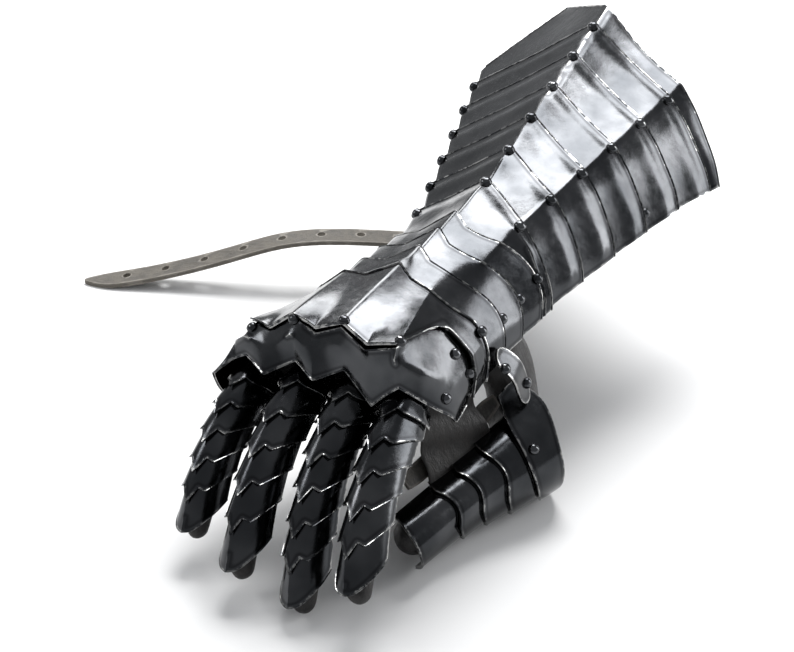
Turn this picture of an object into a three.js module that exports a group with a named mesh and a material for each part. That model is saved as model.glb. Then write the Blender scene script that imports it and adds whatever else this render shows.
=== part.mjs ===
// Right-hand articulated gauntlet: a ridged, pointed cuff of overlapping lames, a laminated wrist,
// a plated hand with four raised knuckles, laminated fingers and thumb, an inner glove and two straps.
// Millimetres, +Z up, +Y towards the elbow, +X towards the thumb side, resting on z = 0.
import * as THREE from 'three';

// ---- driving dimensions ----
const plateThickness = 1.2;     // steel plate
const lap = 4;                  // how far a lame runs under its neighbour
const lift = 1.9;               // height of a free edge over the plate it covers
const pitch = 24;               // cuff lames, ridge rivet to ridge rivet
const cuffRows = 6;             // rows of ridge rivets on the cuff
const firstRow = 32;            // distance of the first rivet row from the wrist
const armRoll = 35.4;           // how far the forearm lies rolled on the table, degrees
const gloveWall = 1.5;          // leather of the glove
const strapWidth = 14;
const strapThickness = 2.4;

const V = (x, y, z) => new THREE.Vector3(x, y, z);
const lerp = (a, b, t) => a + (b - a) * t;

// row of a table of named columns at a position along its first column, with soft blending between rows
function along(table, at) {
  const rows = table.rows, n = rows.length;
  let i = 0;
  while (i < n - 2 && at > rows[i + 1][0]) i++;
  const t = (at - rows[i][0]) / (rows[i + 1][0] - rows[i][0]);
  const out = {};
  table.columns.forEach((name, c) => { out[name] = lerp(rows[i][c], rows[i + 1][c], t); });
  return out;
}
// value of a short profile [[u, value], ...] at u
function profile(points, u) {
  let i = 0;
  while (i < points.length - 2 && u > points[i + 1][0]) i++;
  const [u0, v0] = points[i], [u1, v1] = points[i + 1];
  return lerp(v0, v1, (u - u0) / (u1 - u0));
}

// ---- the forearm and the back of the hand: half sections along the arm, in a frame that turns into the hand ----
// top: middle of the upper panel. ridge: upper ridge. valley, brow: points of the shoulder panel, which become
// the dip between the knuckles and the outer knuckle. edge: lower ridge. side: widest point. hem: open lower edge.
const sections = {
  columns: ['y', 'turn', 'topZ', 'ridgeX', 'ridgeZ', 'valleyX', 'valleyZ', 'browX', 'browZ', 'edgeX', 'edgeZ', 'sideX', 'sideZ', 'hemX', 'hemZ'],
  rows: [
    [-104, 1.00, 24.0, 12.1, 26.6, 24, 20.0, 36.2, 20.5, 42.5, 4.0, 46.5, -9.0, 43.5, -23],
    [-91, 1.00, 24.0, 12.1, 27.0, 24, 20.5, 36.2, 21.5, 41.8, 6.0, 46.3, -8.5, 43.5, -23],
    [-80, 0.93, 26.0, 12.3, 27.2, 24, 23.5, 34.5, 21.0, 39.6, 8.0, 45.5, -6.0, 43.0, -22],
    [-57, 0.66, 26.8, 13.0, 27.6, 21.5, 24.6, 29.5, 19.5, 34.8, 10.5, 43.0, -4.5, 40.0, -20],
    [-20, 0.27, 26.4, 15.0, 28.0, 21.4, 22.6, 27.0, 17.4, 33.0, 11.5, 38.0, -8.0, 34.5, -23],
    [8, 0.00, 27.2, 17.0, 28.4, 22.8, 22.7, 28.7, 17.0, 35.2, 11.4, 38.4, -9.0, 35.0, -24],
    [32, 0.00, 28.8, 19.3, 29.7, 25.6, 22.6, 32.7, 16.4, 40.5, 11.4, 43.4, -9.5, 40.0, -25.5],
    [60, 0.00, 34.4, 23.5, 35.4, 30.3, 26.2, 38.4, 18.2, 46.8, 11.4, 49.8, -10, 47.0, -27],
    [104, 0.00, 43.2, 30.0, 44.4, 37.5, 32.1, 46.7, 21.0, 56.6, 11.4, 60.3, -12, 58.5, -31],
    [152, 0.00, 52.8, 37.1, 54.3, 45.6, 38.8, 56.0, 24.4, 67.3, 11.4, 71.0, -14, 69.5, -41],
    [206, 0.00, 60.5, 45.2, 64.0, 54.6, 45.6, 66.2, 27.6, 79.0, 11.4, 83.0, -15, 82.0, -46],
  ],
};
const handTurn = { yaw: -4.6, twist: 24.6, pitch: 2.7 };    // the hand against the forearm, degrees
const handCentre = V(-1.5, -91.2, 31.3);                    // top of the back of the hand between the knuckles
const handDepth = 27;                                       // from there down to the line the sections turn about

function turned(t) {
  const r = Math.PI / 180;
  return new THREE.Matrix4().makeRotationFromEuler(
    new THREE.Euler(handTurn.pitch * t * r, handTurn.twist * t * r, handTurn.yaw * t * r, 'ZYX'));
}
const handMatrix = turned(1);
const hand = (x, y, z) => V(x, y, z).applyMatrix4(handMatrix).add(handCentre);
const handAxisPoint = hand(0, 0, -handDepth);

// point of the arm surface: u runs from 0 at the top to 4 at the hem, negative on the little-finger side
function armPoint(u, y) {
  const s = along(sections, y), side = u < 0 ? -1 : 1, a = Math.abs(u);
  const knots = [[0, s.topZ, 0], [1, s.ridgeZ, s.ridgeX], [4 / 3, s.valleyZ, s.valleyX], [5 / 3, s.browZ, s.browX],
    [2, s.edgeZ, s.edgeX], [3, s.sideZ, s.sideX], [4, s.hemZ, s.hemX]];
  let z = profile(knots.map((k) => [k[0], k[1]]), a), x = profile(knots.map((k) => [k[0], k[2]]), a);
  const round = a > 2 ? Math.sin(Math.PI * (a % 1)) * (a > 3 ? 1.4 : 1.0) : 0;   // the side bellies a little
  x += round;
  const t = s.turn, m = turned(t);
  const centre = V(handAxisPoint.x * t, 0, handAxisPoint.z * t);
  const p = V(x * side, 0, z).applyMatrix4(m).add(centre);
  p.y += y;
  return p;
}

// ---- thin plates ----
// A plate follows surface(u, v) over the columns us. Each row is [v as a function of u, height over the surface].
// core(u, v) is a point on the hollow side. Returns one closed shell of even thickness.
function plate(surface, us, rows, core, thickness = plateThickness) {
  const e = 0.02, grid = rows.map(([v]) => us.map((u) => surface(u, v(u))));
  const normals = rows.map(([v]) => us.map((u) => {
    const at = v(u);
    const across = surface(u + e, at).sub(surface(u - e, at));
    const alongV = surface(u, at + 20 * e).sub(surface(u, at - 20 * e));
    const n = across.cross(alongV).normalize();
    return n.dot(surface(u, at).sub(core(u, at))) < 0 ? n.negate() : n;
  }));
  return shell(grid, normals, (i) => rows[i][1], thickness);
}

// closed shell from a grid of points, their outward normals and a height for each row
function shell(grid, normals, heightOf, thickness) {
  const nt = grid.length, nu = grid[0].length, inner = [], outer = [], tri = [];
  for (let i = 0; i < nt; i++) {
    for (let j = 0; j < nu; j++) {
      inner.push(grid[i][j].clone().addScaledVector(normals[i][j], heightOf(i, j)));
      outer.push(grid[i][j].clone().addScaledVector(normals[i][j], heightOf(i, j) + thickness));
    }
  }
  const at = (i, j, k) => k * nu * nt + i * nu + j;
  const quad = (a, b, c, d) => tri.push(a, b, c, a, c, d);
  for (let i = 0; i < nt - 1; i++) {
    for (let j = 0; j < nu - 1; j++) {
      quad(at(i, j, 1), at(i, j + 1, 1), at(i + 1, j + 1, 1), at(i + 1, j, 1));
      quad(at(i, j, 0), at(i + 1, j, 0), at(i + 1, j + 1, 0), at(i, j + 1, 0));
    }
  }
  for (let j = 0; j < nu - 1; j++) {
    quad(at(0, j, 0), at(0, j + 1, 0), at(0, j + 1, 1), at(0, j, 1));
    quad(at(nt - 1, j, 1), at(nt - 1, j + 1, 1), at(nt - 1, j + 1, 0), at(nt - 1, j, 0));
  }
  for (let i = 0; i < nt - 1; i++) {
    quad(at(i, 0, 1), at(i + 1, 0, 1), at(i + 1, 0, 0), at(i, 0, 0));
    quad(at(i, nu - 1, 0), at(i + 1, nu - 1, 0), at(i + 1, nu - 1, 1), at(i, nu - 1, 1));
  }
  return solid([...inner, ...outer], tri);
}

// rows of a lame: hidden end, the neighbour's free edge over it, any rows between, and its own free edge
function lameRows(over, free, under, between = [], height = lift) {
  const ease = height * 0.18;
  return [
    [(u) => over(u) - under, 0],
    [over, ease],
    ...between.map(([t, h]) => [(u) => lerp(over(u), free(u) - under, t), lerp(ease, height - ease, t) + h]),
    [(u) => free(u) - under, height - ease],
    [free, height],
  ];
}

// closed geometry from points and triangles, faced outward
function solid(points, tri) {
  let volume = 0;
  for (let i = 0; i < tri.length; i += 3) {
    volume += points[tri[i]].dot(points[tri[i + 1]].clone().cross(points[tri[i + 2]]));
  }
  if (volume < 0) for (let i = 0; i < tri.length; i += 3) [tri[i + 1], tri[i + 2]] = [tri[i + 2], tri[i + 1]];
  const g = new THREE.BufferGeometry();
  g.setAttribute('position', new THREE.Float32BufferAttribute(points.flatMap((p) => [p.x, p.y, p.z]), 3));
  g.setIndex(tri);
  return g;
}

// tube swept through rings of points, closed at both ends by the caller's rings; rings all have the same count
function loft(rings, closedPath = false) {
  const n = rings[0].length, points = rings.flat(), tri = [];
  const m = rings.length;
  for (let i = 0; i < (closedPath ? m : m - 1); i++) {
    const a = i * n, b = ((i + 1) % m) * n;
    for (let j = 0; j < n; j++) {
      const k = (j + 1) % n;
      tri.push(a + j, a + k, b + k, a + j, b + k, b + j);
    }
  }
  if (!closedPath) {
    for (let j = 1; j < n - 1; j++) tri.push(0, j + 1, j);
    const last = (m - 1) * n;
    for (let j = 1; j < n - 1; j++) tri.push(last, last + j, last + j + 1);
  }
  return solid(points, tri);
}

// ---- materials ----
const colours = { steel: 0x2b2d30, glove: 0x101011, strap: 0x4a453d, buckle: 0x3a3b3d };
const finishes = {
  steel: { metalness: 0.95, roughness: 0.28 }, glove: { metalness: 0, roughness: 0.62 },
  strap: { metalness: 0, roughness: 0.7 }, buckle: { metalness: 0.95, roughness: 0.35 },
};
const group = new THREE.Group();
function add(name, geometry, kind) {
  const mesh = new THREE.Mesh(geometry, new THREE.MeshStandardMaterial({ color: colours[kind], ...finishes[kind] }));
  mesh.name = name;
  group.add(mesh);
}

// ---- cuff lames ----
const mirror = (list) => [...list.slice(1).reverse().map((u) => -u), ...list];
const armColumns = mirror([0, 0.5, 1, 4 / 3, 5 / 3, 2, 2.5, 3, 3.5, 4]);
// how far a free edge sweeps back towards the hand, from the top to the hem
const cuffSweep = [[0, 0], [1, 0], [4 / 3, -6.6], [5 / 3, -13.4], [2, -20.4], [3, -27.5], [4, -31.5]];
const rimEdge = [[0, 203], [0.5, 184], [1, 167], [4 / 3, 157], [5 / 3, 149], [2, 142.5], [3, 133.5], [4, 127]];
const wristSweep = [
  [0, -6], [0.5, -3.5], [1, 0], [4 / 3, -8], [5 / 3, -9.5], [2, -8], [2.5, -4.5], [3, -4.5], [3.5, -7], [4, -10],
];
const cuffEdge = (k) => (u) => firstRow + pitch * k + profile(cuffSweep, Math.abs(u));
const wristEdge = (k) => (u) => [3, -12, -28, -44][k] + profile(wristSweep, Math.abs(u));
// free edges in order from the hand to the elbow
const edges = [wristEdge(3), wristEdge(2), wristEdge(1), wristEdge(0)];
for (let k = 0; k < cuffRows; k++) edges.push(cuffEdge(k));
edges.push((u) => profile(rimEdge, Math.abs(u)));

const armCore = (u, y) => {
  const t = along(sections, y).turn;
  return V(handAxisPoint.x * t, y, handAxisPoint.z * t);
};
for (let k = 1; k < edges.length; k++) {
  const isCuff = k > 3, last = k === edges.length - 1;
  const name = isCuff ? `cuff_lame_${k - 3}` : `wrist_lame_${4 - k}`;
  // a soft flute runs along each cuff lame just inside its free edge
  const between = last ? [[0.4, 0]] : isCuff ? [[0.45, 0], [0.8, 0.7]] : [[0.5, 0]];
  add(name, plate(armPoint, armColumns, lameRows(edges[k - 1], edges[k], lap, between, k > 4 ? lift : k === 4 ? 2.3 : 2.1), armCore), 'steel');
}

// ---- hand plate: topmost, free at both ends ----
const handFront = [[0, -92.5], [0.5, -91.5], [1, -90.5], [4 / 3, -94], [1.5, -93], [5 / 3, -91.5], [2, -61], [3, -60], [4, -64]];
const handFrontFar = [[0, -92.5], [0.5, -90], [1, -88.5], [4 / 3, -91], [1.5, -89], [5 / 3, -86.5], [2, -61], [3, -60], [4, -64]];
const handColumns = mirror([0, 0.5, 1, 4 / 3, 1.5, 5 / 3, 2, 2.5, 3, 3.5, 4]);
const frontOf = (u) => profile(u < 0 ? handFrontFar : handFront, Math.abs(u));
{
  const back = (t) => (u) => lerp(frontOf(u), edges[0](u), t);
  const rows = [[back(0), 2.1], [back(0.15), 2.1], [back(0.5), 2.1], [back(0.8), 2.1], [back(1), 2.3]];
  add('hand_plate', plate(armPoint, handColumns, rows, armCore), 'steel');
}

// ---- knuckle plate: four raised knuckles, arched over the fingers, with points between them ----
// columns: u, then x y z of the brow and of the front edge, in the hand frame
const knuckle = {
  columns: ['u', 'browX', 'browY', 'browZ', 'edgeX', 'edgeY', 'edgeZ'],
  rows: [
    [-4, -49.5, 0, -46, -50, -6, -44],
    [-3, -50.5, -4, -30, -51.5, -12, -30],
    [-2.5, -48.5, -7, -21, -50, -14, -22],
    [-2, -43, -3, -12.5, -45, -6.5, -19],
    [-5 / 3, -36.2, -4, -8, -36, -6, -15.5],
    [-1.5, -30, -5, -9, -30, -9, -17],
    [-4 / 3, -24, -7, -11, -24, -13, -19.5],
    [-1, -12.1, -4, -3.5, -12, -5, -15.5],
    [-0.5, -6, -5, -6, -6, -8, -17],
    [0, 0, -6, -9, 0, -12, -19.5],
    [0.5, 6, -5, -7, 6, -8, -18],
    [1, 12.1, -4, -3.5, 12, -5, -16.5],
    [4 / 3, 24, -5, -17, 24, -9, -30],
    [1.5, 30, -4, -13, 30, -6, -25.5],
    [5 / 3, 36.2, -4, -9.5, 36, -5, -22],
    [2, 42, 3, -20, 41, -1, -30],
    [2.5, 45, 13, -31, 44, 4, -38],
    [3, 46.3, 18, -37, 45.5, 8, -42.5],
    [3.5, 46, 22, -43, 46, 10.5, -46],
    [4, 44, 24, -48, 45.5, 12, -49],
  ],
};
{
  // the two rear rows lie under the hand plate, the front rows follow the table
  const grid = [0, 1, 2, 3].map((row) => handColumns.map((u) => {
    const k = along(knuckle, u);
    if (row === 0) return armPoint(u, frontOf(u) + 5);
    if (row === 1) return armPoint(u, frontOf(u));
    return row === 2 ? hand(k.browX, k.browY, k.browZ) : hand(k.edgeX, k.edgeY, k.edgeZ);
  }));
  const core = handAxisPoint.clone().add(V(0, 12, 0));
  const normals = grid.map((line, i) => line.map((p, j) => {
    const a = grid[Math.min(i + 1, 3)][j].clone().sub(grid[Math.max(i - 1, 0)][j]);
    const b = line[Math.min(j + 1, line.length - 1)].clone().sub(line[Math.max(j - 1, 0)]);
    const n = a.cross(b).normalize();
    return n.dot(p.clone().sub(core)) < 0 ? n.negate() : n;
  }));
  add('knuckle_plate', shell(grid, normals, () => 0, plateThickness), 'steel');
}

// ---- fingers ----
// startX, startZ: where the ridge leaves the knuckle plate, 3 mm towards the wrist; tipX: side drift of the tip;
// length along the ridge; bend: slope below the level at the root and at the tip, degrees
const fingers = {
  columns: ['startX', 'startZ', 'tipX', 'length', 'bendRoot', 'bendTip', 'lames', 'width'],
  index: [33.4, -25.5, 39.2, 92, 6, 60, 6, 22],
  middle: [11.6, -20.0, 12.5, 104, 12, 66, 7, 22],
  ring: [-12, -19.0, -14.6, 97, 7, 61, 6, 21.6],
  little: [-38, -21.0, -43.5, 83, 7, 61, 6, 20.4],
};
const degrees = Math.PI / 180;
function fingerOf(name) {
  const f = {};
  fingers.columns.forEach((c, i) => { f[c] = fingers[name][i]; });
  // centre of the ridge line, its direction and its outward normal at a distance s along it
  f.ridge = (s) => {
    const n = 24, step = s / n;
    let y = 3, z = f.startZ;
    for (let i = 0; i < n; i++) {
      const a = lerp(f.bendRoot, f.bendTip, ((i + 0.5) * step) / f.length) * degrees;
      y -= Math.cos(a) * step;
      z -= Math.sin(a) * step;
    }
    const a = lerp(f.bendRoot, f.bendTip, s / f.length) * degrees;
    return { x: lerp(f.startX, f.tipX, s / f.length), y, z, out: [-Math.sin(a), Math.cos(a)], dir: [-Math.cos(a), -Math.sin(a)] };
  };
  // half sections: across, and down from the ridge, at the root; they shrink to the tip
  f.point = (u, s) => {
    const r = f.ridge(s), a = Math.abs(u), k = lerp(1, 0.8, Math.max(0, s / f.length));
    const across = profile([[0, 0], [0.5, 2.6], [1, 5.0], [2, 8.3], [3, 8.1]], a) * k * f.width / 22 * Math.sign(u || 1);
    const down = profile([[0, 0], [0.5, 1.3], [1, 2.9], [2, 9.3], [3, 15]], a) * k;
    return hand(r.x + across, r.y - r.out[0] * down, r.z - r.out[1] * down);
  };
  return f;
}
const fingerColumns = mirror([0, 0.5, 1, 2, 3]);
const fingerEdge = [[0, 8], [0.5, 1.2], [1, 2.2], [2, -5], [3, -10]];       // long point, small shoulder point, swept sides
const firstEdge = [[0, 7.2], [0.5, 1], [1, 2], [2, -1.5], [3, -3]];
const lastEdge = [[0, 7.5], [0.5, 7], [1, 4.5], [2, -2], [3, -8]];
for (const name of ['index', 'middle', 'ring', 'little']) {
  const f = fingerOf(name);
  const first = 14, step = (f.length - 7 - first) / (f.lames - 1);
  const free = (k) => (u) => first + step * k + profile(k === 0 ? firstEdge : k === f.lames - 1 ? lastEdge : fingerEdge, Math.abs(u));
  const core = (u, s) => {
    const r = f.ridge(s);
    return hand(r.x, r.y - r.out[0] * 11, r.z - r.out[1] * 11);
  };
  for (let k = 0; k < f.lames; k++) {
    const over = k === 0 ? (u) => 4 + (name === 'index' && u > 0 ? 0.9 : -0.5) * Math.abs(u) : free(k - 1);
    add(`${name}_lame_${k + 1}`, plate(f.point, fingerColumns, lameRows(over, free(k), 3.2), core, 1.1), 'steel');
  }
}

// ---- glove fingers: closed-tip leather stalls under the lames ----
function stall(centre, radiusAt, length, sides, steps, wall) {
  const ring = (s, r) => {
    const c = centre(s), list = [];
    for (let j = 0; j < sides; j++) {
      const a = (j / sides) * 2 * Math.PI;
      list.push(c.at.clone().addScaledVector(c.across, Math.cos(a) * r).addScaledVector(c.out, Math.sin(a) * r * c.flat));
    }
    return list;
  };
  const rings = (inset) => {
    const list = [], r = radiusAt(length) - inset;
    for (let i = 0; i <= steps; i++) { const s = (length * i) / steps; list.push(ring(s, radiusAt(s) - inset)); }
    for (const a of [30, 60, 82]) list.push(ring(length + r * Math.sin(a * degrees), r * Math.cos(a * degrees)));
    return list;
  };
  return pocket(rings(0), rings(wall));
}
// leather pocket between outer and inner rings, open at the first ring and closed at the last
function pocket(outer, inner) {
  const n = outer[0].length, points = [...outer.flat(), ...inner.flat()], tri = [], half = outer.length;
  const band = (a, b, flip) => {
    for (let j = 0; j < n; j++) {
      const k = (j + 1) % n;
      if (flip) tri.push(a + j, b + k, a + k, a + j, b + j, b + k); else tri.push(a + j, a + k, b + k, a + j, b + k, b + j);
    }
  };
  for (let i = 0; i < half - 1; i++) { band(i * n, (i + 1) * n, false); band((half + i) * n, (half + i + 1) * n, true); }
  band(half * n, 0, false);
  const capO = (half - 1) * n, capI = (2 * half - 1) * n;
  for (let j = 1; j < n - 1; j++) { tri.push(capO, capO + j, capO + j + 1); tri.push(capI, capI + j + 1, capI + j); }
  return solid(points, tri);
}
// flat band through stations of a centre, a sideways direction and a half width
function ribbon(stations, thickness) {
  const grid = stations.map((st) => [-1, 1].map((k) => st.at.clone().addScaledVector(st.side, k * st.half)));
  const normals = stations.map((st, i) => {
    const ahead = stations[Math.min(i + 1, stations.length - 1)].at.clone().sub(stations[Math.max(i - 1, 0)].at);
    const n = ahead.cross(st.side).normalize();
    return [n, n];
  });
  return shell(grid, normals, () => -thickness / 2, thickness);
}
for (const name of ['index', 'middle', 'ring', 'little']) {
  const f = fingerOf(name), deep = 10, mouth = 3;
  const centre = (s) => {
    const r = f.ridge(s + mouth), k = lerp(1, 0.84, (s + mouth) / f.length);
    const at = hand(r.x, r.y - r.out[0] * deep * k, r.z - r.out[1] * deep * k);
    return { at, across: hand(1, 0, 0).sub(hand(0, 0, 0)), out: hand(0, r.out[0], r.out[1]).sub(hand(0, 0, 0)), flat: 0.98 };
  };
  const r0 = f.width / 2 - 3.3;
  add(`glove_${name}`, stall(centre, (s) => lerp(r0, r0 * 0.8, s / f.length), f.length - mouth, 8, 5, gloveWall), 'glove');
}

// ---- palm of the glove: an open leather sleeve inside the plates ----
{
  const sleeve = {
    columns: ['y', 'halfWidth', 'top', 'bottom'],
    rows: [[-98, 38, 13, -16], [-80, 38.5, 17, -17], [-57, 36.5, 19.5, -19], [-20, 31.5, 20, -20], [8, 31, 20, -21], [30, 33, 21, -22]],
  };
  const ring = (y, inset) => {
    const s = along(sleeve, y), t = along(sections, y).turn, m = turned(t), list = [];
    const mid = (s.top + s.bottom) / 2, half = (s.top - s.bottom) / 2;
    for (let j = 0; j < 16; j++) {
      const a = (j / 16) * 2 * Math.PI, c = Math.cos(a), d = Math.sin(a);
      const x = Math.sign(c) * Math.abs(c) ** 0.75 * (s.halfWidth - inset), z = mid + Math.sign(d) * Math.abs(d) ** 0.75 * (half - inset);
      const p = V(x, 0, z).applyMatrix4(m).add(V(handAxisPoint.x * t, y, handAxisPoint.z * t));
      list.push(p);
    }
    return list;
  };
  const ys = [22, 0, -20, -57, -81];
  add('glove_palm', loft([...ys.map((y) => ring(y, 0)), ...[...ys].reverse().map((y) => ring(y, 1.6))], true), 'glove');
}

// ---- thumb ----
const thumbLine = {
  columns: ['s', 'x', 'y', 'z', 'radius'],
  rows: [[-6, 53, 76, -86, 16], [4, 53, 69, -88.5, 19], [18, 51, 56, -90, 20], [36, 46.5, 38.5, -90, 17], [53, 41.5, 22, -89, 14.4], [69, 37.5, 6.4, -88.5, 12.4],
    [86, 34.5, -10, -88, 11], [98, 33, -21, -87.2, 10.2], [112, 31, -34, -86.5, 9.2]],
};
const thumbUp = V(-0.5, 0.14, 0.85).normalize();     // across the thumb, towards its inner edge
function thumbFrame(s) {
  const r = along(thumbLine, s), q = along(thumbLine, s + 1), p0 = V(r.x, r.y, r.z);
  const dir = V(q.x, q.y, q.z).sub(p0).normalize();
  const up = thumbUp.clone().addScaledVector(dir, -thumbUp.dot(dir)).normalize();
  const out = up.clone().cross(dir).normalize();    // towards the back of the thumb
  return { p: p0, dir, up, out, radius: r.radius };
}
// the base plate stands off the thumb at its inner edge, straight from u = 1
function basePoint(u, s) {
  if (u <= 1) return thumbPoint(u, s);
  const p = thumbPoint(1, s);
  return p.addScaledVector(p.clone().sub(thumbPoint(0.98, s)), (u - 1) / 0.02);
}
function thumbPoint(u, s) {
  const f = thumbFrame(s), a = u * 30 * degrees - 8 * degrees, ridge = 1 + 0.05 * Math.max(0, 1 - Math.abs(u));
  const q = f.p.clone().addScaledVector(f.out, Math.cos(a) * f.radius * ridge).addScaledVector(f.up, Math.sin(a) * f.radius);
  return hand(q.x, q.y, q.z);
}
const thumbColumns = [-3.4, -2.6, -1.8, -0.9, 0, 0.9, 1.8, 2.6];
const waveEdge = [[-3.4, -6], [-1.8, 1], [-0.9, 3.5], [0, 0.5], [0.9, 0.5], [1.8, 3], [2.6, 0]];
{
  const stops = [33, 47, 61, 75, 90];
  const freeEdge = (k) => (u) => stops[k] + profile(waveEdge, u);
  const baseStart = (u) => profile([[-3.4, 18], [-1.8, 21], [0, 21], [1.8, 9], [3.1, 10]], u);
  const baseFront = (u) => stops[0] + profile([[-3.4, -8], [-1.8, 2], [0, 4], [1.8, 0], [3.1, -7]], u);
  const core = (u, s) => { const f = thumbFrame(s); return hand(f.p.x, f.p.y, f.p.z); };
  const baseRows = [0, 0.3, 0.6].map((t) => [(u) => lerp(baseStart(u), baseFront(u) - lap, t), lift * (0.6 + 0.4 * t)]);
  add('thumb_base_plate', plate(basePoint, [...thumbColumns, 3.1], [...baseRows, [(u) => baseFront(u) - lap, lift * 0.95], [baseFront, lift]], core), 'steel');
  for (let k = 0; k < 4; k++) {
    const over = k === 0 ? baseFront : freeEdge(k);
    const free = k === 3 ? (u) => 103 + profile([[-3.4, -5], [-0.9, 1], [0.9, 1], [2.6, -3]], u) : freeEdge(k + 1);
    add(`thumb_lame_${k + 1}`, plate(thumbPoint, thumbColumns, lameRows(over, free, 3.2), core, 1.1), 'steel');
  }
  // the glove runs from the palm down a wide gusset and turns into the thumb
  const gusset = {
    columns: ['x', 'y', 'z', 'acrossX', 'acrossY', 'acrossZ', 'outX', 'outY', 'outZ'],
    rows: [
      [14, -20, -25, 0, -18, 0, 12, 0, -2.5],
      [13.5, -17, -40, 0, -17, 0, 10, 0, 0],
      [9, -27, -54, -1, -11, 8, 12, 1, 1],
    ],
  };
  const ring = (at, across, out, inset) => {
    const list = [], ka = 1 - inset / across.length(), ko = 1 - inset / out.length();
    for (let j = 0; j < 10; j++) {
      const a = (j / 10) * 2 * Math.PI;
      list.push(at.clone().addScaledVector(across, Math.cos(a) * ka).addScaledVector(out, Math.sin(a) * ko));
    }
    return list;
  };
  const rings = (inset) => {
    const list = gusset.rows.map((g) => ring(V(g[0], g[1], g[2]), V(g[3], g[4], g[5]), V(g[6], g[7], g[8]), inset));
    const o = hand(0, 0, 0);
    const thumbRing = (s, shrink, ahead) => {
      const f = thumbFrame(s), r = (f.radius - 0.8 - inset) * shrink, p = f.p.clone().addScaledVector(f.dir, ahead);
      return ring(hand(p.x, p.y, p.z), hand(f.up.x, f.up.y, f.up.z).sub(o).multiplyScalar(r), hand(f.out.x, f.out.y, f.out.z).sub(o).multiplyScalar(r), 0);
    };
    for (const s of [24, 40, 58, 76, 92]) list.push(thumbRing(s, 1, 0));
    const tip = thumbFrame(92).radius - 0.8 - inset;
    for (const a of [30, 60, 82]) list.push(thumbRing(92, Math.cos(a * degrees), tip * Math.sin(a * degrees)));
    return list;
  };
  add('glove_thumb', pocket(rings(0), rings(gloveWall)), 'glove');

  // punched leather strip along the inner edge of the thumb lames
  const strip = [];
  for (let i = 0; i <= 9; i++) {
    const s = 25 + 6.6 * i, f = thumbFrame(s), r = f.radius, o = hand(0, 0, 0);
    const up = hand(f.up.x, f.up.y, f.up.z).sub(o), back = hand(f.out.x, f.out.y, f.out.z).sub(o);
    const at = hand(f.p.x, f.p.y, f.p.z).addScaledVector(up, 0.94 * (r + 3) + 5.6).addScaledVector(back, 0.3 * r);
    strip.push({ at, side: up, half: i === 0 || i === 9 ? 2.8 : 4.2 });
  }
  add('thumb_strip', ribbon(strip, 1.8), 'strap');

  // steel tab riveted to the wrist and to the base plate
  const from = armPoint(3.7, -45), fromOut = V(0.97, 0, -0.22), to = basePoint(2.3, 17), f = thumbFrame(17);
  const toOut = thumbPoint(1, 17).sub(hand(f.p.x, f.p.y, f.p.z)).normalize();
  const a0 = from.clone().addScaledVector(fromOut, 5.4), a1 = to.clone().addScaledVector(toOut, 6.6), along01 = a1.clone().sub(a0);
  const tab = [];
  for (let i = 0; i <= 8; i++) {
    const t = lerp(-0.16, 1.16, i / 8), n = fromOut.clone().lerp(toOut, Math.min(1, Math.max(0, t))).normalize();
    const side = n.clone().cross(along01).normalize(), half = 5.6 * Math.sqrt(1 - (Math.max(0, Math.abs(i - 4) - 2) / 2.15) ** 2);
    tab.push({ at: a0.clone().lerp(a1, t).addScaledVector(n, 3.5 * Math.sin(Math.PI * Math.min(1, Math.max(0, t)))), side, half });
  }
  add('thumb_tab', ribbon(tab, 1.2), 'steel');
}

// ---- cuff strap: riveted to the far side of the cuff, its free end lying on the table ----
{
  // a place on the table: x, y and the height over the table, before the whole is set down
  const floor = -70.1, roll = armRoll * degrees;
  const place = (x, y, h) => V(Math.cos(roll) * x + Math.sin(roll) * (h + floor), y, -Math.sin(roll) * x + Math.cos(roll) * (h + floor));
  const tip = [-224, 26], run = [194, 101], runLength = Math.hypot(...run);
  const sag = {
    columns: ['fromTip', 'height'],
    rows: [[0, 0.1], [6, 0.1], [14, 0.4], [32, 3.6], [46, 6.8], [62, 11], [82, 17.4], [102, 24], [122, 25.8], [142, 25.2], [158, 24.2], [173, 23.2]],
  };
  const path = sag.rows.map(([d, h]) => {
    const k = d / runLength, narrow = d < 1 ? 0.8 : d < 7 ? 4.2 : strapWidth / 2;
    return { at: place(tip[0] + run[0] * k, tip[1] + run[1] * k, h + strapThickness / 2), side: place(0.462, -0.887, -floor), half: narrow };
  });
  const root = armPoint(-3.3, 115), up = armPoint(-3.2, 115).sub(root).normalize();
  const out = up.clone().cross(V(0, 1, 0)).normalize();
  if (out.x > 0) out.negate();
  const lie = up.multiplyScalar(0.9).add(V(0, -0.43, 0)).normalize();
  const side = out.clone().cross(lie).normalize();
  if (side.dot(path[0].side) < 0) side.negate();
  for (const d of [9, 0, -9]) path.push({ at: root.clone().addScaledVector(lie, d).addScaledVector(out, 6.3), side, half: strapWidth / 2 });
  add('cuff_strap', ribbon(path, strapThickness), 'strap');
}

// ---- set the whole gauntlet down on the table ----
{
  const roll = new THREE.Matrix4().makeRotationY(-armRoll * degrees);
  const box = new THREE.Box3();
  group.children.forEach((m) => { m.geometry.applyMatrix4(roll); m.geometry.computeBoundingBox(); box.union(m.geometry.boundingBox); });
  const c = box.getCenter(V(0, 0, 0));
  group.children.forEach((m) => { m.geometry.translate(-c.x, -c.y, -box.min.z); m.geometry.computeVertexNormals(); });
}
export default group;
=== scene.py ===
import math

import bpy
from mathutils import Matrix, Vector
from mathutils.bvhtree import BVHTree
from mathutils.kdtree import KDTree


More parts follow.
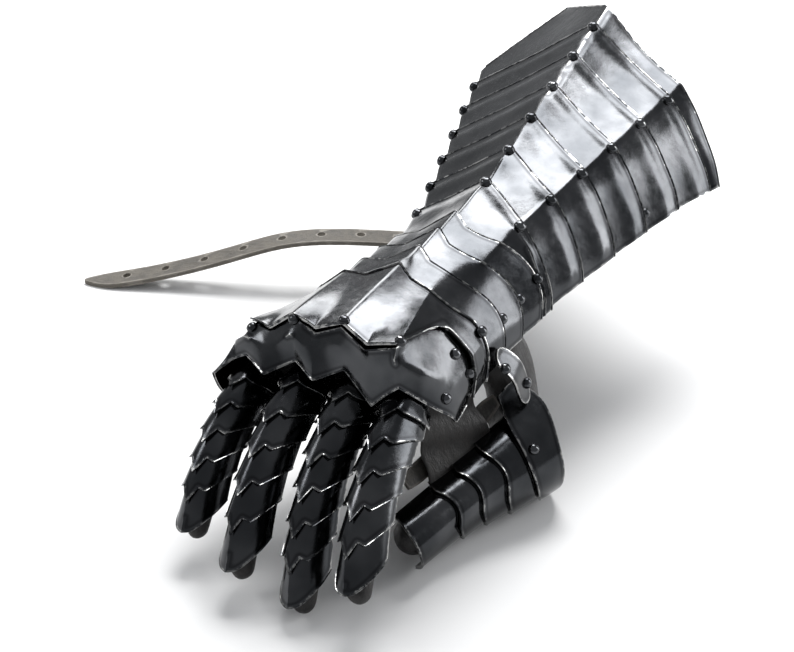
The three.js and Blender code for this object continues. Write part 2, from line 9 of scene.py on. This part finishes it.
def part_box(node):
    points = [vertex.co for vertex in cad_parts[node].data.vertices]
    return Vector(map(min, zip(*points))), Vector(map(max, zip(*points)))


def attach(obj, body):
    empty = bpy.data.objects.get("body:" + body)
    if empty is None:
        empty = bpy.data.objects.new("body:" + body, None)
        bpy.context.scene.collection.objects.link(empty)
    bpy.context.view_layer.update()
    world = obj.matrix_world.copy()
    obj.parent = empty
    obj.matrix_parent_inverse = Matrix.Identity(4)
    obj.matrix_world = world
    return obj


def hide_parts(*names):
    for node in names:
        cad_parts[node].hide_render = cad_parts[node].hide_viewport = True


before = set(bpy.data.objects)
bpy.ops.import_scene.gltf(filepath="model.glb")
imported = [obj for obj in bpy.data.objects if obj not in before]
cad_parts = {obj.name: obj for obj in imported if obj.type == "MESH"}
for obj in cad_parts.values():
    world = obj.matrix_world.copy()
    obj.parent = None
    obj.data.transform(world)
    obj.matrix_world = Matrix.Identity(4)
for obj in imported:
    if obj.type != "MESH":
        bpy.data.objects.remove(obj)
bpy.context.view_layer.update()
mm = 0.001
scene = bpy.context.scene
print("frame loaded:", len(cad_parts), "nodes")


# ---------- small helpers ----------
def pick(*objects):
    bpy.ops.object.select_all(action="DESELECT")
    for obj in objects:
        obj.select_set(True)
    bpy.context.view_layer.objects.active = objects[0]


def inEdit(obj, work):
    pick(obj)
    bpy.ops.object.mode_set(mode="EDIT")
    bpy.ops.mesh.select_all(action="SELECT")
    work()
    bpy.ops.object.mode_set(mode="OBJECT")


def addModifier(obj, kind, **settings):
    pick(obj)
    modifier = obj.modifiers.new(kind.lower(), kind)
    for key, value in settings.items():
        setattr(modifier, key, value)
    bpy.ops.object.modifier_apply(modifier=modifier.name)


def copyNode(node, name):
    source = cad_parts[node]
    pick(source)
    bpy.ops.object.duplicate()
    piece = bpy.context.object
    piece.name = name
    piece.parent = None
    for key in list(piece.keys()):
        del piece[key]
    piece.data.materials.clear()
    if piece.data.has_custom_normals:
        bpy.ops.mesh.customdata_custom_splitnormals_clear()
    inEdit(piece, lambda: bpy.ops.mesh.remove_doubles(threshold=0.00002))
    return piece


def finishPiece(piece, slot, *nodes):
    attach(piece, "root")
    if nodes:
        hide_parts(*nodes)
    return piece


def armPlace(x, y, z):
    return armTurn @ Vector((x, y, z)) * mm + armOrigin


# the forearm lies rolled on the table: its own axes against the model's
armLook = {"roll": 35.4, "origin": (74.54, -19.935, 70.075)}
armTurn = Matrix.Rotation(math.radians(-armLook["roll"]), 3, "Y")
armOrigin = Vector(armLook["origin"]) * mm
handX = Vector((0.906, -0.073, -0.417))
handY = Vector((0.100, 0.994, 0.043))
handZ = Vector((0.411, -0.080, 0.908))
handCentre = Vector((-1.455, -91.199, 31.278))


def handPlace(x, y, z):
    return armPlace(*(handCentre + handX * x + handY * y + handZ * z))


# ---------- materials ----------
def newMaterial(name):
    material = bpy.data.materials.new(name)
    material.use_nodes = True
    tree = material.node_tree
    return material, tree, tree.nodes["Principled BSDF"]


def addNode(tree, kind, inputs=None, **settings):
    node = tree.nodes.new(kind)
    for key, value in settings.items():
        setattr(node, key, value)
    for key, value in (inputs or {}).items():
        if hasattr(value, "is_linked"):
            tree.links.new(value, node.inputs[key])
        else:
            node.inputs[key].default_value = value
    return node


def noiseOf(tree, scale, detail=4, rough=0.55, stretch=None):
    place = addNode(tree, "ShaderNodeTexCoord").outputs["Object"]
    if stretch:
        place = addNode(tree, "ShaderNodeMapping", {"Vector": place, "Scale": stretch}).outputs["Vector"]
    inputs = {"Vector": place, "Scale": scale, "Detail": detail, "Roughness": rough}
    return addNode(tree, "ShaderNodeTexNoise", inputs).outputs["Fac"]


def rampOf(tree, value, low, high, fromLow, fromHigh):
    inputs = {"Value": value, "From Min": fromLow, "From Max": fromHigh, "To Min": low, "To Max": high}
    return addNode(tree, "ShaderNodeMapRange", inputs, interpolation_type="SMOOTHSTEP").outputs["Result"]


def mathOf(tree, how, a, b):
    return addNode(tree, "ShaderNodeMath", {0: a, 1: b}, operation=how).outputs["Value"]


def mixOf(tree, factor, a, b):
    node = addNode(tree, "ShaderNodeMix", {"Factor": factor}, data_type="RGBA")
    for socket, value in ((node.inputs[6], a), (node.inputs[7], b)):
        if hasattr(value, "is_linked"):
            tree.links.new(value, socket)
        else:
            socket.default_value = value
    return node.outputs[2]


# the bright steel tone serves worn edges and a painted highlight along crests and rims
steelLook = {
    "dark": (0.034, 0.036, 0.039, 1), "mid": (0.072, 0.074, 0.078, 1), "wear_and_highlight": (0.27, 0.27, 0.265, 1),
    "wearAndHighlightWidth": 0.62, "shadeLineAt": 1.5, "roughLow": 0.10, "roughHigh": 0.21,
}


def makeSteel(name, look, highlightLift=1.0):
    material, tree, shader = newMaterial(name)
    near = addNode(tree, "ShaderNodeAttribute", attribute_name="edgeDistance").outputs["Fac"]
    broad = noiseOf(tree, 28, 3)
    patchy = noiseOf(tree, 260, 6, 0.7)
    fine = noiseOf(tree, 1500, 4, 0.6, (1, 0.22, 1))
    # a factor above 1 lifts the mid tone: a painted highlight, used for the rivets
    mid = tuple(c * highlightLift for c in look["mid"][:3]) + (1,)
    tone = mixOf(tree, rampOf(tree, broad, 0, 1, 0.35, 0.7), look["dark"], mid)
    # worn bright on free edges and ridges, broken up by patches: partly real wear, partly a painted highlight along
    # crests and rims
    edge = mathOf(tree, "ADD", near, rampOf(tree, patchy, -0.5, 0.6, 0.3, 0.7))
    wear_and_highlight = rampOf(tree, edge, 1, 0, 0.25, look["wearAndHighlightWidth"])
    # painted shade: a dark line just inside the free edge and the other crisp edges, standing in for the shadow where
    # the lames overlap
    at = look["shadeLineAt"]
    painted_shade_line = mathOf(tree, "MULTIPLY", rampOf(tree, near, 0, 1, at * 0.6, at), rampOf(tree, near, 1, 0, at, at * 1.9))
    tone = mixOf(tree, mathOf(tree, "MULTIPLY", painted_shade_line, 0.55), tone, (0.008, 0.008, 0.009, 1))
    tone = mixOf(tree, wear_and_highlight, tone, look["wear_and_highlight"])
    tree.links.new(tone, shader.inputs["Base Color"])
    shader.inputs["Metallic"].default_value = 1.0
    sheen = rampOf(tree, patchy, look["roughLow"], look["roughHigh"], 0.3, 0.75)
    rough = mathOf(tree, "ADD", sheen, mathOf(tree, "MULTIPLY", fine, 0.05))
    tree.links.new(rough, shader.inputs["Roughness"])
    dents = addNode(tree, "ShaderNodeBump", {"Height": broad, "Strength": 0.10, "Distance": 0.004})
    skin = addNode(tree, "ShaderNodeBump", {"Height": patchy, "Strength": 0.10, "Distance": 0.0004,
                                            "Normal": dents.outputs["Normal"]})
    brush = addNode(tree, "ShaderNodeBump", {"Height": fine, "Strength": 0.05, "Distance": 0.0002,
                                             "Normal": skin.outputs["Normal"]})
    tree.links.new(brush.outputs["Normal"], shader.inputs["Normal"])
    return material


def makeLeather(name, dark, light, roughLow, roughHigh, grain, wearTone=None):
    material, tree, shader = newMaterial(name)
    place = addNode(tree, "ShaderNodeTexCoord").outputs["Object"]
    pores = addNode(tree, "ShaderNodeTexVoronoi", {"Vector": place, "Scale": grain}, feature="DISTANCE_TO_EDGE")
    cells = pores.outputs["Distance"]
    patchy = noiseOf(tree, 110, 5, 0.65)
    folds = noiseOf(tree, 190, 5, 0.6, (1, 2.2, 1))
    tone = mixOf(tree, rampOf(tree, patchy, 0, 1, 0.32, 0.68), dark, light)
    tone = mixOf(tree, rampOf(tree, cells, 0.5, 0, 0.0, 0.12), tone, tuple(c * 0.45 for c in dark[:3]) + (1,))
    if wearTone:
        near = addNode(tree, "ShaderNodeAttribute", attribute_name="edgeDistance").outputs["Fac"]
        edge = mathOf(tree, "ADD", near, rampOf(tree, patchy, -0.5, 0.7, 0.3, 0.7))
        tone = mixOf(tree, rampOf(tree, edge, 0.8, 0, 0.2, 1.3), tone, wearTone)
    tree.links.new(tone, shader.inputs["Base Color"])
    tree.links.new(rampOf(tree, patchy, roughLow, roughHigh, 0.3, 0.7), shader.inputs["Roughness"])
    shader.inputs["Specular IOR Level"].default_value = 0.4
    first = addNode(tree, "ShaderNodeBump", {"Height": folds, "Strength": 0.5, "Distance": 0.0012})
    second = addNode(tree, "ShaderNodeBump", {"Height": cells, "Strength": 0.45, "Distance": 0.0003,
                                              "Normal": first.outputs["Normal"]})
    tree.links.new(second.outputs["Normal"], shader.inputs["Normal"])
    return material


blackSteel = makeSteel("blackened steel", steelLook)
# the rivet steel is the blackened steel with its mid tone painted 1.5 times lighter, a painted highlight on the rivets
rivetSteel = makeSteel("rivet steel", dict(steelLook, wearAndHighlightWidth=0.5), 1.5)
gloveLeather = makeLeather("glove leather", (0.005, 0.0045, 0.0045, 1), (0.017, 0.015, 0.014, 1), 0.40, 0.60, 900)
strapLeather = makeLeather("strap leather", (0.055, 0.048, 0.038, 1), (0.135, 0.122, 0.102, 1), 0.48, 0.7, 1100, (0.24, 0.22, 0.19, 1))
stripLeather = makeLeather("strip leather", (0.012, 0.011, 0.010, 1), (0.045, 0.040, 0.034, 1), 0.42, 0.64, 1000, (0.09, 0.08, 0.07, 1))
print("materials made")


# ---------- plates: the CAD shell, squared up, rounded and given a rolled free edge ----------
def squareUp(piece, wall):
    # finds the diagonal of each four-sided facet and dissolves it
    mesh = piece.data
    spots = [v.co.copy() for v in mesh.vertices]
    faces = [tuple(p.vertices) for p in mesh.polygons]
    around = {}
    for index, face in enumerate(faces):
        for a in range(3):
            around.setdefault(frozenset((face[a], face[(a + 1) % 3])), []).append(index)

    def sidesOf(index):
        face = faces[index]
        return [frozenset((face[a], face[(a + 1) % 3])) for a in range(3)]

    thin = set()
    for side in around:
        a, b = tuple(side)
        if abs((spots[a] - spots[b]).length - wall) < 0.00002:
            thin.add(side)
    rim = {index for side in thin for index in around[side]}
    diagonals = {side for side, two in around.items() if side not in thin and all(index in rim for index in two)}

    def walk(first):
        found, queue, clashes = {}, [first], 0
        while queue:
            side = queue.pop()
            two = around[side]
            if any(index in rim for index in two) or len(two) != 2:
                clashes += 1
                continue
            if any(index in found for index in two):
                clashes += found.get(two[0]) != side or found.get(two[1]) != side
                continue
            found[two[0]] = found[two[1]] = side
            for index in two:
                for shared in sidesOf(index):
                    if shared == side:
                        continue
                    other = [n for n in around[shared] if n != index][0]
                    if other in rim or other in found:
                        continue
                    corner = next(iter(shared - side))
                    queue.extend(s for s in sidesOf(other) if s != shared and corner in s)
        return found, len(found) - 20 * clashes

    rest = set(range(len(faces))) - rim
    while rest:
        seed = min(rest)
        tries = [walk(side) for side in sidesOf(seed) if all(index in rest for index in around[side])]
        found = max(tries, key=lambda t: t[1])[0] if tries else {}
        diagonals |= set(found.values())
        rest -= set(found) | {seed}
    lookup = {frozenset(e.vertices): e.index for e in mesh.edges}
    pick(piece)
    bpy.ops.object.mode_set(mode="EDIT")
    bpy.ops.mesh.select_mode(type="EDGE")
    bpy.ops.mesh.select_all(action="DESELECT")
    bpy.ops.object.mode_set(mode="OBJECT")
    for side in diagonals:
        mesh.edges[lookup[side]].select = True
    bpy.ops.object.mode_set(mode="EDIT")
    bpy.ops.mesh.dissolve_edges(use_verts=False, use_face_split=False)
    bpy.ops.object.mode_set(mode="OBJECT")


def sidesOfEdges(mesh):
    pairs = {}
    for face in mesh.polygons:
        for key in face.edge_keys:
            pairs.setdefault(key, []).append(face)
    return pairs


def creaseSharp(piece, angle, ridge, rim):
    mesh = piece.data
    pairs = sidesOfEdges(mesh)
    turns = []
    for edge in mesh.edges:
        two = pairs.get(tuple(sorted(edge.vertices)), [])
        turns.append(math.degrees(two[0].normal.angle(two[1].normal, 0)) if len(two) == 2 else 90)
    crease = mesh.attributes.get("crease_edge") or mesh.attributes.new("crease_edge", "FLOAT", "EDGE")
    crease.data.foreach_set("value", [rim if turn > 68 else ridge if turn > angle else 0 for turn in turns])


def markEdges(piece, angle):
    # distance of every point from the nearest crisp edge, in mm, for the wear, the painted highlight and the painted
    # shade line in the material
    mesh = piece.data
    pairs = sidesOfEdges(mesh)
    crisp = set()
    for key, two in pairs.items():
        if len(two) != 2 or math.degrees(two[0].normal.angle(two[1].normal, 0)) > angle:
            crisp.update((mesh.vertices[key[0]].co.copy().freeze(), mesh.vertices[key[1]].co.copy().freeze()))
            crisp.add(((mesh.vertices[key[0]].co + mesh.vertices[key[1]].co) / 2).freeze())
    tree = KDTree(max(1, len(crisp)))
    for index, spot in enumerate(sorted(crisp, key=tuple)):
        tree.insert(spot, index)
    tree.balance()
    far = mesh.attributes.get("edgeDistance") or mesh.attributes.new("edgeDistance", "FLOAT", "POINT")
    for vertex in mesh.vertices:
        near = tree.find(vertex.co)
        far.data[vertex.index].value = min(12.0, near[2] / mm) if near[0] is not None else 12.0


def addBead(piece, free, radius, reach=0.25):
    # a thin rolled bead follows the outer line of the free edge
    mesh = piece.data
    middle = sum((v.co for v in mesh.vertices), Vector()) / len(mesh.vertices)
    line = []
    for key, two in sidesOfEdges(mesh).items():
        if len(two) != 2:
            continue
        for rimFace, skinFace in (two, two[::-1]):
            turn = rimFace.normal.angle(skinFace.normal, 0)
            facing = rimFace.normal.dot(free)
            outside = skinFace.normal.dot(skinFace.center - middle) > 0
            if turn > 0.9 and facing > max(reach, skinFace.normal.dot(free)) and outside \
                    and rimFace.area < skinFace.area * 1.5:
                line.append(key)
    if not line:
        return piece
    lookup = {tuple(sorted(e.vertices)): e.index for e in mesh.edges}
    pick(piece)
    bpy.ops.object.mode_set(mode="EDIT")
    bpy.ops.mesh.select_mode(type="EDGE")
    bpy.ops.mesh.select_all(action="DESELECT")
    bpy.ops.object.mode_set(mode="OBJECT")
    for key in line:
        mesh.edges[lookup[key]].select = True
    bpy.ops.object.mode_set(mode="EDIT")
    bpy.ops.mesh.duplicate()
    bpy.ops.mesh.separate(type="SELECTED")
    bpy.ops.object.mode_set(mode="OBJECT")
    bead = [o for o in bpy.context.selected_objects if o != piece][0]
    pick(bead)
    bpy.ops.object.convert(target="CURVE")
    bead.data.bevel_depth = radius
    bead.data.bevel_resolution = 1
    bead.data.use_fill_caps = True
    bpy.ops.object.convert(target="MESH")
    # the bead is set close to the edge so it takes the bright worn steel: partly wear, partly a painted highlight
    # along the rolled edge
    bead_wear_and_highlight = bead.data.attributes.new("edgeDistance", "FLOAT", "POINT")
    for item in bead_wear_and_highlight.data:
        item.value = 0.4
    pick(piece, bead)
    bpy.ops.object.join()
    return piece


def makePlate(node, look, frees):
    piece = copyNode(node, node + "_plate")
    squareUp(piece, look["wall"] * mm)
    creaseSharp(piece, look["sharp"], look["ridge"], look["rim"])
    addModifier(piece, "SUBSURF", levels=look["levels"], render_levels=look["levels"])
    markEdges(piece, look["crispEdgeAngle"])
    for free in frees:
        addBead(piece, free.normalized(), look["bead"] * mm, look["reach"])
    pick(piece)
    bpy.ops.object.shade_smooth_by_angle(angle=math.radians(look["smooth"]))
    piece.data.materials.append(blackSteel)
    return finishPiece(piece, "blackened_steel", node)


def centreOf(node):
    low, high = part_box(node)
    return (low + high) / 2


cuffLook = {"wall": 1.2, "sharp": 22, "ridge": 0.9, "rim": 1.0, "levels": 3, "crispEdgeAngle": 38, "bead": 0.42, "smooth": 32, "reach": 0.4}
handLook = dict(cuffLook, bead=0.4, sharp=20, levels=3)
fingerLook = {"wall": 1.1, "sharp": 40, "ridge": 0.75, "rim": 1.0, "levels": 2, "crispEdgeAngle": 38, "bead": 0.26, "smooth": 35, "reach": 0.2}
elbowWay = Vector((0, 1, 0))
fingersWay = Vector((0, -1, 0))
plates = []
for number in range(1, 8):
    plates.append(makePlate(f"cuff_lame_{number}", cuffLook, [elbowWay]))
for number in range(1, 4):
    plates.append(makePlate(f"wrist_lame_{number}", dict(cuffLook, bead=0.34), [elbowWay]))
plates.append(makePlate("hand_plate", handLook, [elbowWay, fingersWay]))
plates.append(makePlate("knuckle_plate", dict(handLook, reach=0.3), [armTurn @ (handZ * -0.85 - handY * 0.5)]))
print("cuff, wrist, hand and knuckle plates made")

lameCounts = {"index": 6, "middle": 7, "ring": 6, "little": 6, "thumb": 4}
for finger, count in lameCounts.items():
    for number in range(1, count + 1):
        node = f"{finger}_lame_{number}"
        before = centreOf(f"{finger}_lame_{max(1, number - 1)}")
        after = centreOf(f"{finger}_lame_{min(count, number + 1)}")
        plates.append(makePlate(node, fingerLook, [after - before]))
plates.append(makePlate("thumb_base_plate", dict(fingerLook, wall=1.2, bead=0.35, levels=3), [centreOf("thumb_lame_4") - centreOf("thumb_base_plate")]))
print("finger and thumb plates made")

# ---------- tab ----------
tabLook = {"bevel": 0.4, "levels": 2}
tab = copyNode("thumb_tab", "thumb_tab_plate")
inEdit(tab, lambda: bpy.ops.mesh.tris_convert_to_quads(face_threshold=1.2, shape_threshold=3.14, topology_influence=1.0))
creaseSharp(tab, 60, 0, 0.85)
addModifier(tab, "SUBSURF", levels=tabLook["levels"], render_levels=tabLook["levels"])
markEdges(tab, 40)
pick(tab)
bpy.ops.object.shade_smooth_by_angle(angle=math.radians(40))
tab.data.materials.append(blackSteel)
plates.append(finishPiece(tab, "blackened_steel", "thumb_tab"))

# ---------- rivets ----------
skinPoints, skinFaces = [], []
for plate in plates:
    start = len(skinPoints)
    skinPoints += [v.co.copy() for v in plate.data.vertices]
    skinFaces += [[start + n for n in p.vertices] for p in plate.data.polygons]
skin = BVHTree.FromPolygons(skinPoints, skinFaces)


def seatOf(guide, core):
    # comes in from outside towards the plate, so the rivet sits on the topmost one
    away = (guide - core).normalized()
    spot, normal, _, _ = skin.ray_cast(guide + away * 30 * mm, -away, 60 * mm)
    if spot is None:
        spot, normal, _, _ = skin.find_nearest(guide)
    if normal.dot(away) < 0:
        normal = -normal
    # softens the lean of a ridge: the mean of the ways out a little to each side
    mean = normal * 1.0
    side = away.cross(Vector((0, 1, 0))).normalized()
    for step in (-2.2, 2.2):
        near = skin.ray_cast(guide + away * 30 * mm + side * step * mm, -away, 60 * mm)
        if near[0] is not None:
            mean += near[1] if near[1].dot(away) > 0 else -near[1]
    return spot, mean.normalized()


rivetLook = {"radius": 2.4, "height": 1.75, "collar": 0.5, "sink": 0.35}
bpy.ops.object.select_all(action="DESELECT")
bpy.ops.mesh.primitive_uv_sphere_add(segments=20, ring_count=12, radius=rivetLook["radius"] * mm)
rivetModel = bpy.context.object
rivetModel.name = "rivet_model"


def shapeRivet():
    bpy.ops.mesh.bisect(plane_co=(0, 0, 0), plane_no=(0, 0, 1), clear_inner=True, use_fill=True)
    bpy.ops.mesh.select_all(action="SELECT")
    bpy.ops.transform.resize(value=(1, 1, rivetLook["height"] / rivetLook["radius"]))


inEdit(rivetModel, shapeRivet)
for face in rivetModel.data.polygons:
    face.select = face.normal.z < -0.9
pick(rivetModel)
bpy.ops.object.mode_set(mode="EDIT")
bpy.ops.mesh.select_mode(type="FACE")
bpy.ops.mesh.extrude_region_move(TRANSFORM_OT_translate={"value": (0, 0, -rivetLook["sink"] * mm * 2)})
bpy.ops.transform.resize(value=(1.05, 1.05, 1))
bpy.ops.object.mode_set(mode="OBJECT")
bpy.ops.object.shade_smooth_by_angle(angle=math.radians(50))
# the tops of the domes take the bright worn steel, partly wear, partly a painted highlight; their lower part falls in
# the painted shade line and is darkened
dome_wear_highlight_and_shade = rivetModel.data.attributes.new("edgeDistance", "FLOAT", "POINT")
for vertex in rivetModel.data.vertices:
    dome_wear_highlight_and_shade.data[vertex.index].value = 0.75 if vertex.co.z > rivetLook["height"] * mm * 0.55 else 2.0


def placeRivets(name, seats, size=1.0):
    heads = []
    for spot, normal in seats:
        pick(rivetModel)
        bpy.ops.object.duplicate()
        head = bpy.context.object
        stand = normal.to_track_quat("Z", "Y").to_matrix().to_4x4()
        head.matrix_world = Matrix.Translation(spot) @ stand @ Matrix.Scale(size, 4)
        bpy.ops.object.transform_apply(location=True, rotation=True, scale=True)
        heads.append(head)
    pick(*heads)
    if len(heads) > 1:
        bpy.ops.object.join()
    rivets = bpy.context.object
    rivets.name = name
    rivets.data.materials.clear()
    rivets.data.materials.append(rivetSteel)
    return finishPiece(rivets, "blackened_steel")


# ridge rows: y along the arm, then half width and height of the ridge there
upperRidge = [(32, 19.3, 29.7), (56, 22.9, 34.6), (80, 26.5, 39.5), (104, 30.0, 44.4), (128, 33.5, 49.3), (152, 37.1, 54.3)]
lowerRidge = [(11.6, 36.1, 11.4), (35.6, 41.3, 11.4), (59.6, 46.7, 11.4), (83.6, 52.0, 11.4), (107.6, 57.4, 11.4), (131.6, 62.8, 11.4)]
ridgeLook = {"behindEdge": 3.2, "size": 1.12}
ridgeSeats = []
for sideWay in (-1, 1):
    for along, across, up in upperRidge + lowerRidge:
        seatAt = along - ridgeLook["behindEdge"]
        ridgeSeats.append(seatOf(armPlace(across * sideWay, seatAt, up), armPlace(0, seatAt, 0)))
placeRivets("cuff_ridge_rivets", ridgeSeats, ridgeLook["size"])

sideSpots = [(38, -2.6, -9.5), (36.5, -15.9, -11.3), (36.5, -31.8, -12), (36.5, -50.6, -8.5), (37, -67, -8.5)]
sideSeats = []
for sideWay in (-1, 1):
    for across, along, up in sideSpots:
        sideSeats.append(seatOf(armPlace(across * sideWay, along, up), armPlace(0, along, up)))
placeRivets("wrist_side_rivets", sideSeats)

knuckleSpots = [(-36.2, 0, -5.5), (-12.1, 0, 0), (12.1, 0, 0), (36.2, 0, -5.5), (46, 28, -35), (46, 10, -36)]
knuckleSeats = [seatOf(handPlace(x, y, z), handPlace(x * 0.3, y, -32)) for x, y, z in knuckleSpots]
placeRivets("knuckle_rivets", knuckleSeats)

strapSpots = [(52, 76, -21)]
strapSeats = [seatOf(armPlace(*spot), armPlace(0, spot[1], spot[2])) for spot in strapSpots]
placeRivets("strap_rivets", strapSeats)

tabEnds = sorted((v.co.copy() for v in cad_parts["thumb_tab"].data.vertices), key=lambda c: c.y)
tabSpots = [tabEnds[0].lerp(tabEnds[-1], share) for share in (0.14, 0.86)]
tabSeats = []
for spot in tabSpots:
    outward = Vector((0.8, -0.3, 0.2)).normalized()
    hit, normal, _, _ = skin.ray_cast(spot + outward * 25 * mm, -outward, 60 * mm)
    tabSeats.append((hit if hit is not None else spot, normal if normal is not None else Vector((1, 0, 0))))
basePlateSpot = handPlace(60, 38.7, -80.7)
placeRivets("thumb_rivets", tabSeats + [seatOf(basePlateSpot, handPlace(50, 40, -90))])
bpy.data.objects.remove(rivetModel)
print("rivets placed")

# ---------- glove ----------
gloveLook = {"levels": 2, "fold": 0.7, "foldSize": 0.012}
for node in ("glove_index", "glove_middle", "glove_ring", "glove_little", "glove_palm", "glove_thumb"):
    hide = copyNode(node, node + "_leather")
    inEdit(hide, lambda: bpy.ops.mesh.tris_convert_to_quads(face_threshold=1.4, shape_threshold=3.14, topology_influence=1.5))
    addModifier(hide, "SUBSURF", levels=gloveLook["levels"], render_levels=gloveLook["levels"])
    wrinkles = bpy.data.textures.new(node + " folds", "CLOUDS")
    wrinkles.noise_scale = gloveLook["foldSize"]
    wrinkles.noise_depth = 2
    addModifier(hide, "DISPLACE", texture=wrinkles, texture_coords="LOCAL", strength=gloveLook["fold"] * mm, mid_level=0.85)
    pick(hide)
    bpy.ops.object.shade_smooth()
    hide.data.materials.append(gloveLeather)
    finishPiece(hide, "glove_leather", node)

# the web of the glove, from the palm to the inside of the thumb, slack and folded
webLook = {"cuts": 22, "wall": 1.4, "sag": 5.0, "fold": 1.1, "folds": 3}
webPalm = ((41, 30, -28), (37, -4, -28))
webThumb = ((45, 40, -79), (36, -2, -80))
bpy.ops.object.select_all(action="DESELECT")
bpy.ops.mesh.primitive_grid_add(x_subdivisions=webLook["cuts"], y_subdivisions=webLook["cuts"], size=2, location=(0, 0, 0))
web = bpy.context.object
web.name = "glove_web_leather"
for vertex in web.data.vertices:
    forward, across = (vertex.co.x + 1) / 2, (vertex.co.y + 1) / 2
    palmSide = Vector(webPalm[0]).lerp(Vector(webPalm[1]), forward)
    thumbSide = Vector(webThumb[0]).lerp(Vector(webThumb[1]), forward)
    spot = palmSide.lerp(thumbSide, across)
    slack = math.sin(math.pi * across)
    spot.x -= webLook["sag"] * slack * (0.4 + 0.6 * forward)
    spot.x += webLook["fold"] * slack * math.sin(2 * math.pi * webLook["folds"] * (across + 0.25 * forward))
    spot.y += webLook["sag"] * 1.6 * slack * forward
    vertex.co = handPlace(*spot)
inEdit(web, lambda: bpy.ops.mesh.normals_make_consistent(inside=False))
addModifier(web, "SOLIDIFY", thickness=webLook["wall"] * mm, offset=0)
addModifier(web, "SUBSURF", levels=1, render_levels=1)
pick(web)
bpy.ops.object.shade_smooth()
web.data.materials.append(gloveLeather)
finishPiece(web, "glove_leather")
print("glove made")

# ---------- strip along the thumb ----------
stripLook = {"levels": 2, "slots": 3}
strip = copyNode("thumb_strip", "thumb_strip_leather")
inEdit(strip, lambda: bpy.ops.mesh.tris_convert_to_quads(face_threshold=1.2, shape_threshold=3.14, topology_influence=1.0))
creaseSharp(strip, 60, 0, 0.8)
addModifier(strip, "SUBSURF", levels=stripLook["levels"], render_levels=stripLook["levels"])
markEdges(strip, 40)
pick(strip)
bpy.ops.object.shade_smooth_by_angle(angle=math.radians(40))
strip.data.materials.append(stripLeather)
finishPiece(strip, "strap_leather", "thumb_strip")

# ---------- cuff strap ----------
strapLook = {"levels": 2, "holeRadius": 2.1, "holes": (22, 42, 62, 82, 102, 122, 142, 161), "way": (0.887, 0.462, 0)}
strap = copyNode("cuff_strap", "cuff_strap_leather")
strapTip = min((v.co.copy() for v in strap.data.vertices), key=lambda c: c.x)
inEdit(strap, lambda: bpy.ops.mesh.tris_convert_to_quads(face_threshold=1.2, shape_threshold=3.14, topology_influence=1.0))
creaseSharp(strap, 60, 0, 0.85)
addModifier(strap, "SUBSURF", levels=strapLook["levels"], render_levels=strapLook["levels"])
strapSkin = BVHTree.FromPolygons([v.co.copy() for v in strap.data.vertices], [list(p.vertices) for p in strap.data.polygons])
punches = []
for reach in strapLook["holes"]:
    above = strapTip + Vector(strapLook["way"]) * reach * mm
    spot, normal, _, _ = strapSkin.ray_cast(Vector((above.x, above.y, 0.2)), Vector((0, 0, -1)))
    if spot is None:
        continue
    bpy.ops.object.select_all(action="DESELECT")
    bpy.ops.mesh.primitive_cylinder_add(vertices=20, radius=strapLook["holeRadius"] * mm, depth=12 * mm, location=spot)
    punch = bpy.context.object
    punch.matrix_world = Matrix.Translation(spot) @ normal.to_track_quat("Z", "Y").to_matrix().to_4x4()
    punches.append(punch)
pick(*punches)
bpy.ops.object.transform_apply(location=True, rotation=True, scale=True)
bpy.ops.object.join()
punch = bpy.context.object
addModifier(strap, "BOOLEAN", object=punch, operation="DIFFERENCE", solver="EXACT")
bpy.data.objects.remove(punch)
markEdges(strap, 40)
pick(strap)
bpy.ops.object.shade_smooth_by_angle(angle=math.radians(40))
strap.data.materials.append(strapLeather)
finishPiece(strap, "strap_leather", "cuff_strap")
print("straps made")

# ---------- floor, light and camera ----------
floorLook = {"size": 6, "tone": (0.86, 0.86, 0.86, 1)}
bpy.ops.object.select_all(action="DESELECT")
bpy.ops.mesh.primitive_plane_add(size=floorLook["size"], location=(0, 0, 0))
floor = bpy.context.object
floor.name = "floor"
floorPaint, floorTree, floorShader = newMaterial("pale floor")
floorShader.inputs["Base Color"].default_value = floorLook["tone"]
floorShader.inputs["Roughness"].default_value = 0.9
floorShader.inputs["Specular IOR Level"].default_value = 0.1
floor.data.materials.append(floorPaint)

world = bpy.data.worlds.new("studio")
scene.world = world
world.use_nodes = True
world.node_tree.nodes["Background"].inputs["Color"].default_value = (0.95, 0.97, 1, 1)
world.node_tree.nodes["Background"].inputs["Strength"].default_value = 0.42

# softboxes: way they hang from the middle of the gauntlet, distance, size and power
lampLook = {
    "top": {"way": (-0.13, 0.50, 0.86), "away": 1.2, "size": (0.75, 0.5), "power": 19},
    "right": {"way": (0.83, 0.55, 0.22), "away": 1.1, "size": (0.28, 0.9), "power": 6},
    "left": {"way": (-0.58, 0.66, 0.47), "away": 1.2, "size": (0.35, 0.35), "power": 4},
    "front": {"way": (-0.75, -0.25, 0.6), "away": 1.2, "size": (0.35, 0.3), "power": 2.5},
}
for name, look in lampLook.items():
    lamp = bpy.data.lights.new(name + " softbox", "AREA")
    lamp.shape = "RECTANGLE"
    lamp.size, lamp.size_y = look["size"]
    lamp.energy = look["power"]
    holder = bpy.data.objects.new(name + " softbox", lamp)
    scene.collection.objects.link(holder)
    way = Vector(look["way"]).normalized()
    holder.location = Vector((0, 0, 0.06)) + way * look["away"]
    holder.rotation_euler = way.to_track_quat("Z", "Y").to_euler()

cameraLook = {"place": (0.3905, -0.6980, 0.5006), "lens": 88.98}
camera = bpy.data.objects.new("camera", bpy.data.cameras.new("camera"))
scene.collection.objects.link(camera)
camera.data.sensor_width = 36
camera.data.lens = cameraLook["lens"]
right, up, back = Vector((0.89022, 0.45553, 0.00053)), Vector((-0.23557, 0.45936, 0.85644)), Vector((0.38989, -0.76255, 0.51624))
camera.matrix_world = Matrix.Translation(cameraLook["place"]) @ Matrix((right, up, back)).transposed().to_4x4()
scene.camera = camera
scene.view_settings.view_transform = "Standard"
print("floor, lights and camera set")
